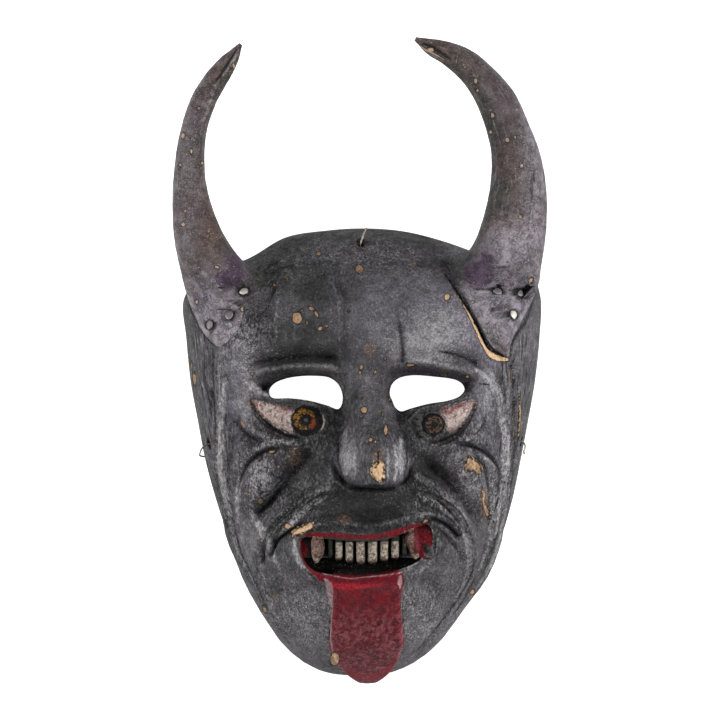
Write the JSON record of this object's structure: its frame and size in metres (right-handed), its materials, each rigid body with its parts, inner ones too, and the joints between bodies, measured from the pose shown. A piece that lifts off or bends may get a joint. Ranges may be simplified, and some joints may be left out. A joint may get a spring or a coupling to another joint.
{
  "type": "carved wooden devil mask",
  "caption": "Hollow carved wooden devil dance mask, painted black, with eye slots, bared teeth, a long red tongue and curved horns nailed to the forehead.",
  "frame": {"origin": "bottom centre of the bounding box, on the plane of the back rim", "axes": "+Z out of the face, +Y from chin to crown and horns, +X towards the viewer's right; the mask lies on its back rim"},
  "size_m": [0.2056, 0.3546, 0.1101],
  "materials": {
    "mask_paint": "satin black paint worn to bare wood at the edges, with red, cream and ochre on mouth and eyes",
    "horn_paint": "dull brown-black paint with a violet cast at the base",
    "iron": "dark rusted iron, one nail head rubbed bright"
  },
  "bodies": {
    "root": {"mask": "mask_paint", "horn_left": "horn_paint", "horn_right": "horn_paint", "nail_left_1": "iron", "nail_left_2": "iron", "nail_left_3": "iron", "nail_right_1": "iron", "nail_right_2": "iron", "nail_right_3": "iron", "wire_crown": "iron", "wire_left": "iron", "wire_right": "iron"}
  },
  "joints": []
}
